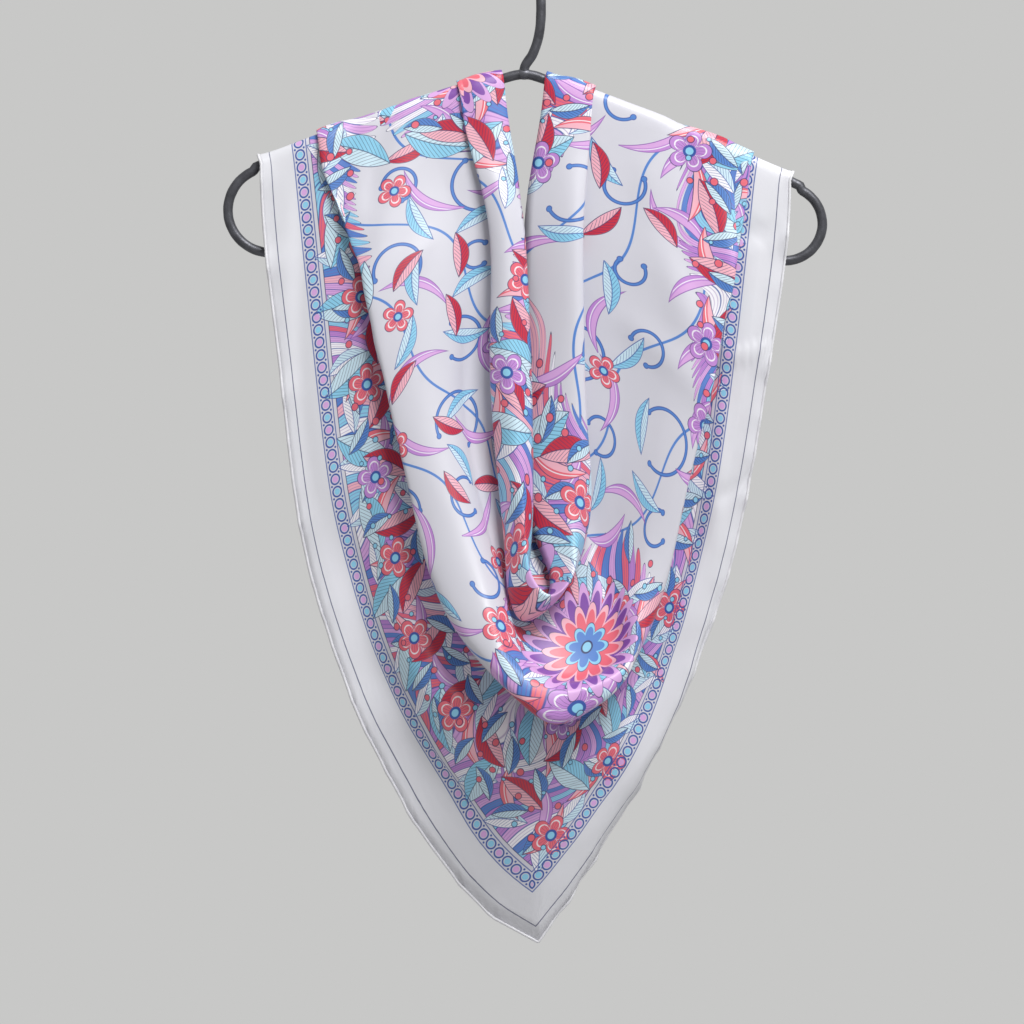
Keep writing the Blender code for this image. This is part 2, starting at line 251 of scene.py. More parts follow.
def slopes(fold, points, places):
    """Tangents at the stations, as (arriving, leaving) pairs."""
    result = []
    last = len(points) - 1
    for i in range(last + 1):
        if i in (0, last):
            near = 1 if i == 0 else last - 1
            rate = (points[near][2] - points[i][2]) / (places[near] - places[i])
            result.append((np.array((0.0, 0.0, rate)),) * 2)
            continue
        before = (points[i] - points[i - 1]) / (places[i] - places[i - 1])
        after = (points[i + 1] - points[i]) / (places[i + 1] - places[i])
        even = mix(before, after, (places[i] - places[i - 1]) / (places[i + 1] - places[i - 1]))
        sharp = fold.corner if i == BASE else 0.0
        result.append((mix(even, before, sharp), mix(even, after, sharp)))
    return result


def fold_curve(fold, at):
    """Points of a fold's curve at the given places."""
    points, places = fold_stations(fold), fold_places()
    tangents = slopes(fold, points, places)
    curve = []
    for place in at:
        i = min(int(np.searchsorted(places, place, side="right")) - 1, len(places) - 2)
        step = places[i + 1] - places[i]
        t = (place - places[i]) / step
        h00 = (1 + 2 * t) * (1 - t) ** 2
        h10 = t * (1 - t) ** 2 * step
        h01 = t * t * (3 - 2 * t)
        h11 = t * t * (t - 1) * step
        curve.append(h00 * points[i] + h10 * tangents[i][1] + h01 * points[i + 1] + h11 * tangents[i + 1][0])
    return np.array(curve)


def lap_at(fold, place):
    """Thickness of a pressed fold at a place along its curve."""
    arm, side, base = fold.laps
    upper = mix(arm, side, smooth((1.0 - abs(place)) / PLACES[1]))
    return mix(base, upper, smooth(abs(place) / LAP_BASE))


def leg_places():
    """Places of the columns between the arms, closer together at the base of the folds."""
    half = [1.0 - (k / LEG_STEPS) ** LEG_CROWD for k in range(LEG_STEPS + 1)]
    return [-place for place in half] + [place for place in reversed(half[:-1])]


# ---- the flat square

def arm_flats(folds, side):
    """Each fold's place on the flat square where it crosses an arm."""
    _, shares = arm_runs(folds, side)
    return [np.array((side * mix(NECK_U, SHOULDER[0], s), mix(0.0, SHOULDER[1], s))) for s in shares]


def base_flats(curves, middle):
    """Each fold's depth on the flat square at the base of the folds, measured up from the hem's corner."""
    base = [curve[middle] for curve in curves]
    steps = [np.linalg.norm(b - a) for a, b in zip(base, base[1:])]
    total = sum(steps)
    scale = HALF_DIAGONAL / total if total > HALF_DIAGONAL * WHOLE_SHARE else 1.0
    return [HALF_DIAGONAL - scale * sum(steps[i:]) for i in range(len(base))]


def leg_flats(folds, curves, middle):
    """The places on the flat square of every fold's points between the arms, as one array a fold."""
    depths = base_flats(curves, middle)
    ends = {side: rolled(folds, side, 0.0, arm_flats(folds, side)) for side in (-1, 1)}
    flats = []
    for k, curve in enumerate(curves):
        along = lengths(curve)
        along = along - along[middle]
        power = 1.0 + ROW_BOW * (1.0 - k / (len(folds) - 1))
        row = []
        for i, run in enumerate(along):
            side = -1 if i < middle else 1
            share = abs(run) / abs(along[0] if side < 0 else along[-1])
            end_u, end_v = ends[side][k]
            row.append((end_u * share, mix(-depths[k], end_v, share ** power)))
        flats.append(np.array(row))
    return flats


# ---- columns across the folds

def spread(fold, point, flat, out, lap):
    """The corner of a soft bend, or the outer and inner corners of a pressed fold, with their flat places."""
    if not fold.laps:
        return [np.concatenate((point, flat))]
    return [np.concatenate((point + out * lap / 2 * sign, flat)) for sign in (1, -1)]


def leg_columns(folds):
    """Columns between the arms, from left to right."""
    places = leg_places()
    curves = [fold_curve(fold, places) for fold in folds]
    flats = leg_flats(folds, curves, places.index(0.0))
    out = np.array((0.0, -1.0, 0.0))
    columns = []
    for i, place in enumerate(places):
        column = []
        for fold, curve, flat in zip(folds, curves, flats):
            column += spread(fold, curve[i], flat[i], out, lap_at(fold, place) if fold.laps else 0.0)
        columns.append(column)
    return columns


def rolled(folds, side, angle, flats):
    """Each fold's flat place where the cloth has rolled so far over an arm; 90 degrees is its top."""
    corner = np.array((side * HALF_DIAGONAL, 0.0))
    places = []
    for fold, flat in zip(folds, flats):
        away = (corner - flat) / np.linalg.norm(corner - flat)
        places.append(flat + away * fold.layer * (angle - math.pi / 2))
    return places


def arc_column(folds, side, angle, flats):
    """The column where the cloth rolls over an arm: 0 is its front, 90 degrees its top, 180 its back."""
    slope = ARM_SLOPE[side]
    rise = math.sin(angle)
    out = np.array((side * rise * math.sin(slope), -math.cos(angle), rise * math.cos(slope)))
    column = []
    for fold, flat in zip(folds, flats):
        x = arm_x(fold, side)
        point = np.array((x, 0.0, arm_height(x))) + out * fold.layer
        column += spread(fold, point, flat, out, fold.laps[0] if fold.laps else 0.0)
    return column


def tail_column(folds, side, share, flats, behind):
    """The column across a side corner of the square, a share of the way down to its tip."""
    xs, runs = arm_runs(folds, side)
    opened = smooth(share / PLEATS_OPEN)
    settled = smooth((share - SETTLE_FROM) / SETTLE_OVER)
    sway = smooth(share / RIPPLE_RISE) * smooth((1.0 - share) / RIPPLE_FADE)
    ripple = (behind - BEHIND["back"]) / (BEHIND["front"] - BEHIND["back"]) * TAIL_RIPPLE * sway
    tip_x, tip_z = TAIL_TIP[side]
    corner = np.array((side * HALF_DIAGONAL, 0.0))
    column = []
    for fold, x, run, flat in zip(folds, xs, runs, flats):
        wave = 0.5 - 0.5 * math.cos(2 * math.pi * TAIL_RIPPLES * run)
        x = mix(x, mix(xs[0], xs[-1], run), opened)
        half = fold.laps[0] / 2 if fold.laps else 0.0
        for layer in (fold.layer + half, fold.layer - half) if fold.laps else (fold.layer,):
            y = mix(layer, behind, settled) + ripple * wave
            point = mix(np.array((x, y, arm_height(x))), np.array((tip_x, y, tip_z)), share)
            column.append(np.concatenate((point, mix(flat, corner, share))))
    return column


def side_columns(folds, side, behind):
    """Columns from the front of an arm over its top and down to the tip of the side corner."""
    crest = arm_flats(folds, side)
    columns = []
    for k in range(1, 2 * ARC_STEPS + 1):
        angle = math.pi * k / (2 * ARC_STEPS)
        columns.append(arc_column(folds, side, angle, rolled(folds, side, angle, crest)))
    back = rolled(folds, side, math.pi, crest)
    for k in range(1, TAIL_STEPS + 1):
        columns.append(tail_column(folds, side, TAIL_END * k / TAIL_STEPS, back, behind))
    return columns


def rounded(columns, folds, run_points):
    """The columns with their corners rounded and their runs divided, as one array."""
    corners = np.array(columns)
    kinds = []
    for fold in folds:
        kinds += [(fold.laps[1], LAP_REACH)] * 2 if fold.laps else [(fold.soft, SOFT_REACH)]
    gaps = np.maximum(np.linalg.norm(np.diff(corners[:, :, :3], axis=1), axis=2), NEAR)
    pieces = [corners[:, :1]]
    leave = corners[:, 0]
    for i in range(1, corners.shape[1]):
        arrive = corners[:, i]
        bend = []
        if i < corners.shape[1] - 1:
            soft, most = kinds[i]
            reach = np.minimum(soft, most * np.minimum(gaps[:, i - 1], gaps[:, i]))
            start = corners[:, i] + (corners[:, i - 1] - corners[:, i]) * (reach / gaps[:, i - 1])[:, None]
            end = corners[:, i] + (corners[:, i + 1] - corners[:, i]) * (reach / gaps[:, i])[:, None]
            for t in np.linspace(0.0, 1.0, BEND_POINTS):
                bend.append((1 - t) ** 2 * start + 2 * t * (1 - t) * corners[:, i] + t * t * end)
            arrive = start
        for t in np.linspace(0.0, 1.0, run_points + 1)[1:-1 if bend else None]:
            pieces.append(mix(leave, arrive, t)[:, None])
        pieces += [point[:, None] for point in bend]
        leave = bend[-1] if bend else arrive
    return np.concatenate(pieces, axis=1)


def sheet_grid(folds, kind):
    """Every point of one half of the square, columns by rows, as x, y, z and its flat place u, v."""
    behind = BEHIND[kind]
    left = side_columns(folds, -1, behind)[::-1]
    right = side_columns(folds, 1, behind)
    return rounded(left + leg_columns(folds) + right, folds, RUN_POINTS[kind])


# ---- creases and ripples

# Soft creases on the flat square: from, to, half width, and depth (negative for a ridge).
Crease = namedtuple("Crease", "u0 v0 u1 v1 width depth")
FRONT_CREASES = [Crease(*row) for row in (
    (375, -150, 250, -330, 14, 2.2), (392, -128, 210, -360, 9, -1.8), (396, -165, 160, -440, 11, 1.9),
    (380, -100, 285, -230, 8, 1.5), (402, -180, 190, -430, 7, -1.4), (330, -118, 235, -250, 12, -1.6),
    (-384, -86, -268, -250, 12, 2.4), (-392, -112, -215, -330, 9, -1.9),
    (-380, -60, -300, -170, 8, 1.8), (-330, -90, -190, -300, 13, -1.7),
    (-404, -170, -220, -400, 8, 1.3), (-412, -188, -160, -455, 9, -1.2),
    (-170, -440, 10, -520, 12, 2.2), (-120, -470, 60, -545, 10, -1.8), (20, -505, 170, -440, 11, 2.0),
    (-60, -560, 70, -575, 9, 1.3), (120, -400, 40, -470, 9, -1.4), (-20, -330, 60, -420, 12, 1.7),
    (-150, -490, 100, -545, 28, 5.0), (-235, -345, -10, -566, 20, 9.0), (230, -350, 20, -560, 18, 6.5),
    (-120, -440, 70, -478, 13, -3.0), (-372, -22, -180, -70, 7, 1.2), (372, -20, 190, -60, 7, 1.3),
    (-505, -60, -600, -18, 10, 1.6), (500, -60, 596, -16, 10, -1.6), (286, -296, 330, -312, 3.5, -2.4),
    (352, -232, 384, -254, 5, 2.0), (222, -372, 262, -380, 5, 1.8), (300, -140, 262, -330, 16, 1.8),
    (210, -180, 236, -330, 12, -1.6), (-300, -160, -226, -300, 10, 1.7),
    (-262, -140, -214, -260, 8, -1.5),
)]
BACK_CREASES = [Crease(*row) for row in (
    (380, -60, 240, -300, 12, 2.0), (-384, -70, -250, -310, 13, -2.0), (396, -150, 130, -430, 10, -1.6),
    (-398, -140, -140, -430, 11, 1.8), (60, -380, -10, -560, 14, 1.6), (-60, -330, -30, -520, 10, -1.3),
)]
CREASE_FADE = 0.22
CREASE_BOW = 0.04

# The hem's ripples: their depth, so that the front's stand outward and the back's inward and the layers
# keep apart, how far in from the hem they reach, their waves by length, shift and size, and how softly
# and how far they lift.
HEM_RIPPLE = {"front": -1.5, "back": 0.7}
HEM_RIPPLE_REACH = 26.0
HEM_WAVES = ((31.0, 0.0, 1.0), (47.0, 1.3, 0.8), (83.0, 2.1, 0.9))
HEM_SOFT = 0.6
HEM_LIFT = 0.3

# Easing of the grid's bends, and the laying flat: a cell's two triangles by corners, the limits of an
# edge's weight, and how often it is turned and pulled.
BEND_SPAN = 10.0
EASE_ACROSS = 0.5
EASE_ALONG = 0.3
HEM_ROWS = 3
TRIANGLES = (((0, 0), (1, 0), (1, 1)), ((0, 0), (1, 1), (0, 1)))
EDGE_WEIGHTS = (0.02, 20.0)
FLAT_ROUNDS = 14
FLAT_STEPS = 90


def edge_distance(flat):
    """Distance on the flat from the nearest edge of the square."""
    return (HALF_DIAGONAL - np.abs(flat[..., 0]) - np.abs(flat[..., 1])) / math.sqrt(2.0)


def relief(flat, creases, ripple):
    """Depth of the creases and of the hem's ripples at places on the flat square."""
    u = flat[..., 0]
    v = flat[..., 1]
    depth = np.zeros(u.shape)
    for crease in creases:
        start = np.array((crease.u0, crease.v0))
        way = np.array((crease.u1, crease.v1)) - start
        length = np.linalg.norm(way)
        along = ((u - start[0]) * way[0] + (v - start[1]) * way[1]) / length ** 2
        bow = CREASE_BOW * length * np.sin(np.clip(along, 0, 1) * math.pi)
        aside = ((u - start[0]) * -way[1] + (v - start[1]) * way[0]) / length + bow
        ends = np.clip(along / CREASE_FADE, 0, 1) * np.clip((1 - along) / CREASE_FADE, 0, 1)
        ends = ends * ends * (3 - 2 * ends)
        depth += crease.depth * ends * np.exp(-(aside / crease.width) ** 2)
    near = np.clip(1.0 - edge_distance(flat) / HEM_RIPPLE_REACH, 0, 1) ** 2
    p = (u - v) / math.sqrt(2.0)
    q = (-u - v) / math.sqrt(2.0)
    run = np.where(np.abs(p) > np.abs(q), q, p)
    waves = sum(size * np.sin(2 * math.pi * run / period + shift) for period, shift, size in HEM_WAVES)
    lifted = (waves + np.sqrt(waves ** 2 + HEM_SOFT ** 2)) / 2 + HEM_LIFT
    return depth + ripple * near * lifted


def grid_normals(points):
    """Unit normals of a grid of points, turned to the inside of the drape."""
    along = np.gradient(points, axis=0)
    across = np.gradient(points, axis=1)
    normal = np.cross(along, across)
    return normal / np.maximum(np.linalg.norm(normal, axis=2, keepdims=True), TINY)


def settled(points, passes):
    """The grid with its bends eased, most where they are soft; the neckline and the hem stay."""
    points = points.copy()
    for _ in range(passes):
        middle = (points[:, 2:] + points[:, :-2]) / 2 - points[:, 1:-1]
        reach = np.linalg.norm(points[:, 2:] - points[:, :-2], axis=2, keepdims=True)
        ease = np.clip(reach / BEND_SPAN, 0, 1) * EASE_ACROSS
        points[:, 1:-1] += middle * ease
        middle = (points[2:, :-HEM_ROWS] + points[:-2, :-HEM_ROWS]) / 2 - points[1:-1, :-HEM_ROWS]
        points[1:-1, :-HEM_ROWS] += middle * EASE_ALONG
    return points


# ---- the cloth laid flat

def part(array, corner):
    """The cells' values at one of their corners."""
    a, b = corner
    return array[a:array.shape[0] - 1 + a, b:array.shape[1] - 1 + b]


def triangle_edges(points):
    """Both triangles' edges in every cell: which one, two corners, vector in the triangle's plane, weight."""
    edges = []
    for which, corners in enumerate(TRIANGLES):
        a, b, c = (part(points, corner) for corner in corners)
        ab = b - a
        ac = c - a
        bc = c - b
        base = np.maximum(np.linalg.norm(ab, axis=2), NEAR)
        x = np.sum(ab * ac, axis=2) / base
        y = np.sqrt(np.maximum(np.sum(ac * ac, axis=2) - x * x, NEAR))
        third = x - 1j * y
        vectors = (base + 0j, third - base, -third)
        facing = (np.sum(ac * bc, axis=2), np.sum(ab * ac, axis=2), -np.sum(ab * bc, axis=2))
        for k in range(3):
            weight = np.clip(facing[k] / np.maximum(base * y, NEAR) / 2, *EDGE_WEIGHTS)
            edges.append((which, corners[k], corners[(k + 1) % 3], vectors[k], weight))
    return edges


def tension(flat, edges, turns=None):
    """The pull on every point from its edges, turned with their triangles; the hem's points are held."""
    pull = np.zeros(flat.shape, dtype=complex)
    for which, one, other, vector, weight in edges:
        gap = part(flat, other) - part(flat, one)
        if turns is not None:
            gap = gap - turns[which] * vector
        part(pull, one)[...] += weight * gap
        part(pull, other)[...] -= weight * gap
    pull[:, -1] = 0.0
    return pull


def triangle_turns(flat, edges):
    """How far each triangle has turned in the flat, as numbers of length 1."""
    total = [0.0, 0.0]
    for which, one, other, vector, weight in edges:
        total[which] = total[which] + weight * (part(flat, other) - part(flat, one)) * np.conj(vector)
    return [turn / np.maximum(np.abs(turn), NEAR) for turn in total]


def eased(flat, edges, mass, turns):
    """The flat with its pulls evened out, by conjugate gradients."""
    pull = tension(flat, edges, turns)
    way = pull / mass
    power = np.sum(np.conj(pull) * way).real
    for _ in range(FLAT_STEPS):
        stiff = -tension(way, edges)
        step = power / max(np.sum(np.conj(way) * stiff).real, NEAR)
        flat = flat + step * way
        pull = pull - step * stiff
        before = power
        power = np.sum(np.conj(pull) * pull / mass).real
        way = pull / mass + way * (power / max(before, NEAR))
    return flat


def hem_flats(points, guess):
    """The hem's places on the two straight sides of the square, measured along the hem from its corner."""
    along = lengths(points[:, -1])
    corner = int(np.argmin(guess[:, -1, 1]))
    run = (along - along[corner]) * math.sqrt(0.5)
    return run + 1j * (np.abs(run) - HALF_DIAGONAL)


def laid_flat(points, guess):
    """Every point's place on the flat square, with the cloth as little stretched as can be."""
    flat = guess[:, :, 0] + 1j * guess[:, :, 1]
    flat[:, -1] = hem_flats(points, guess)
    edges = triangle_edges(points)
    mass = np.zeros(flat.shape)
    for _, one, other, _, weight in edges:
        part(mass, one)[...] += weight
        part(mass, other)[...] += weight
    for _ in range(FLAT_ROUNDS):
        flat = eased(flat, edges, mass, triangle_turns(flat, edges))
    return np.stack((flat.real, flat.imag), axis=-1)


def dressed(grid, creases, ripple):
    """The grid's points with their bends eased and the creases pressed, and their places on the flat."""
    points = settled(grid[:, :, :3], SETTLE_PASSES)
    flats = laid_flat(points, grid[:, :, 3:])
    return points + grid_normals(points) * relief(flats, creases, ripple)[:, :, None], flats


# ---- cloth pieces

def make_piece(name, mesh, material):
    """A smooth piece of one material, from its mesh."""
    mesh.polygons.foreach_set("use_smooth", [True] * len(mesh.polygons))
    mesh.materials.append(material)
    made = bpy.data.objects.new(name, mesh)
    bpy.context.collection.objects.link(made)
    return made


def sheet_mesh(name, points, flats, material):
    """A sheet of cloth as a grid, with its place on the flat square as UV, in metres."""
    mesh = bpy.data.meshes.new(name)
    columns, rows = points.shape[:2]
    index = np.arange(columns * rows).reshape(columns, rows)
    around = (index[:-1, :-1], index[1:, :-1], index[1:, 1:], index[:-1, 1:])
    faces = np.stack(around, axis=-1).reshape(-1, 4)
    mesh.from_pydata((points.reshape(-1, 3) * MM).tolist(), [], faces.tolist())
    layer = mesh.uv_layers.new(name="flat")
    layer.data.foreach_set("uv", (flats.reshape(-1, 2)[faces.reshape(-1)] * MM).ravel())
    sheet = make_piece(name, mesh, material)
    thick = sheet.modifiers.new("thickness", "SOLIDIFY")
    thick.thickness = THICKNESS * MM
    thick.offset = 0.0
    return sheet


# The rolled hem: its radius, sides, the gap between stitches, how hard and how sharply they pinch, and
# steps a gap.
HEM_R = 1.15
HEM_SIDES = 8
STITCH_GAP = 5.5
STITCH_PINCH = 0.22
PINCH_POWER = 4
STITCH_STEPS = 4


def hem_tube(name, edge, material):
    """The hand-rolled hem: a soft roll along the edge, pinched a little at each stitch."""
    edge = resampled(edge, STITCH_GAP / STITCH_STEPS)
    pinch = STITCH_PINCH * np.cos(2 * math.pi * lengths(edge) / STITCH_GAP) ** PINCH_POWER
    mesh = bpy.data.meshes.new(name)
    mesh.from_pydata(*tube_parts(edge, HEM_R * (1.0 - pinch), HEM_SIDES))
    return make_piece(name, mesh, material)


def resampled(points, gap):
    """The polyline with points at even distances."""
    along = lengths(points)
    at = np.linspace(0.0, along[-1], max(int(along[-1] / gap), 2))
    return np.stack([np.interp(at, along, points[:, k]) for k in range(3)], axis=1)


def tube_parts(points, radii, sides):
    """Vertices, edges and faces of a closed tube along the points, in metres."""
    tangents = np.gradient(points, axis=0)
    tangents /= np.linalg.norm(tangents, axis=1, keepdims=True)
    side = np.cross(tangents[0], (0.0, 1.0, 0.0))
    if np.linalg.norm(side) < LEAST_SIDE:
        side = np.cross(tangents[0], (1.0, 0.0, 0.0))
    verts = []
    faces = []
    for k, (point, tangent, radius) in enumerate(zip(points, tangents, radii)):
        side = side - tangent * np.dot(side, tangent)
        side /= np.linalg.norm(side)
        other = np.cross(tangent, side)
        for j in range(sides):
            angle = 2 * math.pi * j / sides
            way = side * math.cos(angle) + other * math.sin(angle)
            verts.append(tuple((point + radius * way) * MM))
        if k:
            ring = k * sides
            last = ring - sides
            for j in range(sides):
                n = (j + 1) % sides
                faces.append((last + j, last + n, ring + n, ring + j))
    faces.append(tuple(range(sides))[::-1])
    faces.append(tuple(len(verts) - sides + j for j in range(sides)))
    return verts, [], faces


def cloth(name, folds, kind, creases, silk, hem_silk):
    """One half of the square with its rolled hem."""
    grid = sheet_grid(folds, kind)
    points, flats = dressed(grid, creases, HEM_RIPPLE[kind])
    sheet = sheet_mesh(name, points, flats, silk)
    hem = hem_tube(f"{name}_hem", points[:, -1], hem_silk)
    return sheet, hem


# ---- hanger

# The wires' sampling, the hammer marks in them, the swelling of the weld, and the blunt tip of the hook.
WIRE_SIDES = 20
WIRE_STEP = 1.6
HAMMER_DEPTH = 0.22
HAMMER_SIZE = 9.0
WELD_R = 4.6
WELD_FORM = (1.45, 0.86, 0.86)
WELD_FINENESS = 4
WELD_LIFT = 0.3
TIP_SHARES = (0.5, 0.8, 0.93, 1.0)
TIP_RADII = (0.93, 0.5)
HOOK_STATIONS = 24
STEM_STEPS = 8
TURN_STEPS = 40
ARM_STEPS = 60


def hammered(name, route, radii, material):
    """A round forged wire along (x, z) points, with faint hammer marks in its surface."""
    points = resampled(np.array([(x, 0.0, z) for x, z in route]), WIRE_STEP)
    where = np.linspace(0.0, 1.0, len(points))
    radius = np.interp(where, np.linspace(0.0, 1.0, len(radii)), radii)
    mesh = bpy.data.meshes.new(name)
    mesh.from_pydata(*tube_parts(points, radius, WIRE_SIDES))
    wire = make_piece(name, mesh, material)
    marks = bpy.data.textures.new(name, "CLOUDS")
    marks.noise_scale = HAMMER_SIZE * MM
    press = wire.modifiers.new("hammer marks", "DISPLACE")
    press.texture = marks
    press.texture_coords = "LOCAL"
    press.strength = HAMMER_DEPTH * 2 * MM
    return wire


def spline(points, count):
    """A smooth curve through (x, z) points."""
    given = [np.array(p, dtype=float) for p in points]
    given = [2 * given[0] - given[1]] + given + [2 * given[-1] - given[-2]]
    curve = []
    for a, b, c, d in zip(given, given[1:], given[2:], given[3:]):
        for t in np.arange(count) / count:
            square = (2 * a - 5 * b + 4 * c - d) * t ** 2
            cube = (3 * b - a - 3 * c + d) * t ** 3
            curve.append((2 * b + (c - a) * t + square + cube) / 2)
    return [tuple(p) for p in curve] + [tuple(given[-2])]


def hook_route():
    """The stem and the round hook, ending in a short drop."""
    centre_z = WIRE_R - HOOK_R
    turn = np.linspace(0, math.pi, TURN_STEPS)
    arc = [(HOOK_R * math.cos(a), centre_z + HOOK_R * math.sin(a)) for a in turn]
    drop = [(-HOOK_R, centre_z - HOOK_DROP * share) for share in TIP_SHARES]
    return spline(STEM, STEM_STEPS) + arc + drop


def frame_side(side):
    """One arm, its round loop, and half of the bottom bar."""
    end = shoulder(side)[0]
    arm = [(x, arm_height(x)) for x in np.linspace(JUNCTION[0], end, ARM_STEPS)]
    x, z = LOOP_CENTRE[side]
    radius = LOOP_R[side]
    turn = np.linspace(ARM_SLOPE[side], math.pi, TURN_STEPS)
    loop = [(x + side * radius * math.sin(a), z + radius * math.cos(a)) for a in turn]
    feet = [(LOOP_CENTRE[s][0], LOOP_CENTRE[s][1] - LOOP_R[s]) for s in (-1, 1)]
    middle = ((feet[0][0] + feet[1][0]) / 2, (feet[0][1] + feet[1][1]) / 2)
    return arm + loop[1:] + [middle]


def hook_radii():
    """The hook's radius along its length: full, then the blunt tip."""
    return [WIRE_R] * HOOK_STATIONS + [WIRE_R * share for share in TIP_RADII]


def weld(material):
    """The swelling where the stem is welded to the two arms."""
    mesh = bpy.data.meshes.new("hanger_weld")
    build = bmesh.new()
    bmesh.ops.create_icosphere(build, subdivisions=WELD_FINENESS, radius=WELD_R * MM)
    for vert in build.verts:
        vert.co = vert.co * Vector(WELD_FORM)
    build.to_mesh(mesh)
    build.free()
    bead = make_piece("hanger_weld", mesh, material)
    bead.location = Vector((JUNCTION[0] * MM, 0.0, (JUNCTION[1] + WELD_LIFT) * MM))
    return bead


# ---- arithmetic on shader sockets

# How softly a motif's edge is drawn, in millimetres, and a sharp edge.
SOFT_EDGE = 0.35
CRISP = 0.01


class Field:
    """A value that varies over a surface, with arithmetic that makes Math nodes."""

    def __init__(self, tree, socket):
        self.tree = tree
        self.socket = socket

    def __add__(self, other):
        return calc("ADD", self, other)

    __radd__ = __add__

    def __sub__(self, other):
        return calc("SUBTRACT", self, other)

    def __rsub__(self, other):
        return calc("SUBTRACT", other, self)

    def __mul__(self, other):
        return calc("MULTIPLY", self, other)

    __rmul__ = __mul__

    def __truediv__(self, other):
        return calc("DIVIDE", self, other)

    def __neg__(self):
        return calc("MULTIPLY", self, -1.0)

    def __abs__(self):
        return calc("ABSOLUTE", self)


def calc(kind, *values, clamp=False):
    """One Math node on fields and plain numbers."""
    tree = next(value.tree for value in values if isinstance(value, Field))
    node = tree.nodes.new("ShaderNodeMath")
    node.operation = kind
    node.use_clamp = clamp
    for value, socket in zip(values, node.inputs):
        if isinstance(value, Field):
            tree.links.new(value.socket, socket)
        else:
            socket.default_value = value
    return Field(tree, node.outputs[0])


def least(*fields):
    """The smallest of several fields."""
    result = fields[0]
    for field in fields[1:]:
        result = calc("MINIMUM", result, field)
    return result


def most(*fields):
    """The largest of several fields."""
    result = fields[0]
    for field in fields[1:]:
        result = calc("MAXIMUM", result, field)
    return result


def radius(x, y):
    """Distance from the centre of a motif."""
    return calc("SQRT", x * x + y * y)


def inside(field, edge=SOFT_EDGE):
    """1 where a distance field is below zero, with an edge of so many millimetres."""
    return calc("MULTIPLY_ADD", field, -1.0 / edge, 0.5, clamp=True)


def paint(under, colour, mask):
    """A colour laid over another through a mask; either may be plain or a field."""
    tree = mask.tree
    node = tree.nodes.new("ShaderNodeMix")
    node.data_type = "RGBA"
    tree.links.new(mask.socket, node.inputs["Factor"])
    for value, socket in ((under, node.inputs[6]), (colour, node.inputs[7])):
        if isinstance(value, Field):
            tree.links.new(value.socket, socket)
        else:
            socket.default_value = value
    return Field(tree, node.outputs[2])


def srgb(*levels):
    """A linear colour from 0 to 255 screen levels."""
    return tuple(((c / 255 + 0.055) / 1.055) ** 2.4 if c > 10 else c / 255 / 12.92 for c in levels) + (1.0,)


# ---- the print

GROUND = srgb(208, 207, 216)
MARGIN = srgb(220, 220, 226)
NAVY = srgb(44, 50, 98)
DEEP_BLUE = srgb(54, 84, 160)
BLUE = srgb(84, 130, 200)
SKY = srgb(140, 202, 230)
MIST = srgb(202, 226, 238)
RED = srgb(196, 44, 66)
CORAL = srgb(226, 104, 120)
ROSE = srgb(236, 176, 190)
LILAC = srgb(212, 164, 218)
VIOLET = srgb(128, 76, 164)
MAUVE = srgb(186, 132, 204)
WHITE = srgb(238, 236, 242)

# A scattering of one motif over square cells: the cell's size, the shift of the cells and how far the
# motif may stray, both in cells, the share of the cells that hold one, and the seed of its chances.
Scatter = namedtuple("Scatter", "size shift stray share seed")

# A pointed leaf: its scattering, length, half width, bend, two tones, the colour of its lines, and the
# distance between its veins, or 0 for a plain blade.
Leaf = namedtuple("Leaf", "scatter length half bend light dark line veins")
BAND_LEAVES = (
    Leaf(Scatter(46.0, (0.1, 0.4), 0.06, 1.0, 1.0), 42.0, 4.4, 0.016, LILAC, MAUVE, VIOLET, 0.0),
    Leaf(Scatter(37.0, (0.6, 0.8), 0.06, 1.0, 2.0), 33.5, 6.2, 0.010, WHITE, MIST, DEEP_BLUE, 3.0),
    Leaf(Scatter(49.0, (0.3, 0.7), 0.06, 0.9, 3.0), 45.0, 4.8, 0.014, ROSE, CORAL, NAVY, 0.0),
    Leaf(Scatter(53.0, (0.3, 0.1), 0.06, 0.9, 4.0), 48.5, 10.4, 0.005, MIST, SKY, NAVY, 3.8),
    Leaf(Scatter(47.0, (0.8, 0.6), 0.06, 0.9, 5.0), 43.0, 8.4, 0.007, ROSE, RED, NAVY, 3.4),
    Leaf(Scatter(31.0, (0.7, 0.9), 0.08, 0.8, 6.0), 27.5, 5.2, 0.012, MIST, BLUE, NAVY, 2.8),
)
FIELD_LEAVES = (
    Leaf(Scatter(62.0, (0.2, 0.75), 0.10, 0.85, 7.0), 55.0, 3.6, 0.014, LILAC, MAUVE, VIOLET, 0.0),
    Leaf(Scatter(47.0, (0.45, 0.15), 0.12, 0.65, 8.0), 40.0, 5.2, 0.010, MIST, SKY, DEEP_BLUE, 3.2),
    Leaf(Scatter(43.0, (0.85, 0.35), 0.16, 0.25, 13.0), 34.0, 5.8, 0.010, ROSE, RED, NAVY, 3.2),
)
LEAF_LINE = 0.55
RIB_LINE = 0.32
VEIN_LEAN = 1.3
VEIN_LINE = 0.24
VEIN_STRENGTH = 0.9
BLADE_STREAK = 0.35
BLADE_SHIFT = 1 / 3

